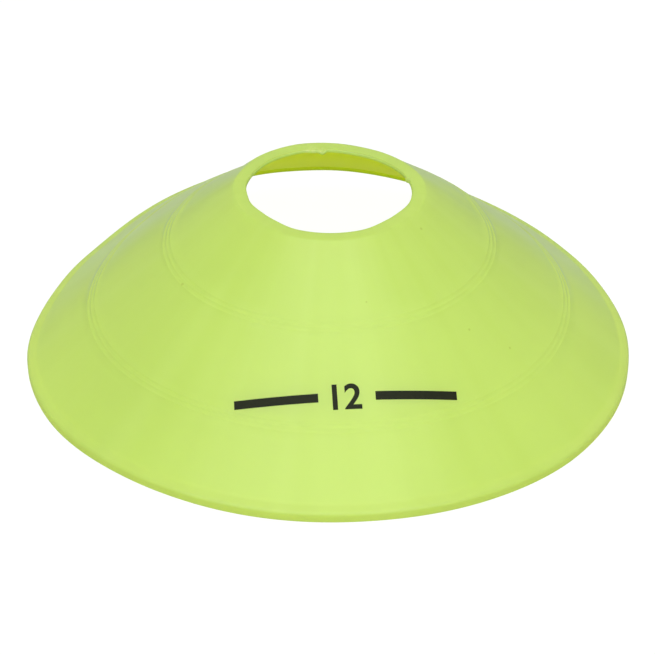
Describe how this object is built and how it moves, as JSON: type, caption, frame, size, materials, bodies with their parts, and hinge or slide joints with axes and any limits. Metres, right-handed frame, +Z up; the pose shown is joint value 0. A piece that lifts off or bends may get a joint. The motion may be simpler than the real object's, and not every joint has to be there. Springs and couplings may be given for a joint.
{
  "type": "sports marker cone",
  "caption": "Low disc-shaped training cone of soft bright yellow-green plastic, with a round hole through the top, an open underside and fine ribs round its wall.",
  "frame": {"origin": "centre of the foot, on the floor that the cone stands on", "axes": "+Z up along the axis of the hole; the cone is the same all the way round, and its printed mark faces -Y"},
  "size_m": [0.19, 0.19, 0.054],
  "materials": {
    "shell_plastic": "soft satin-gloss polyethylene, bright yellow-green right through",
    "print_ink": "black pad-printing ink, thin and slightly glossy"
  },
  "bodies": {
    "root": {"cone_shell": "shell_plastic"}
  },
  "joints": []
}
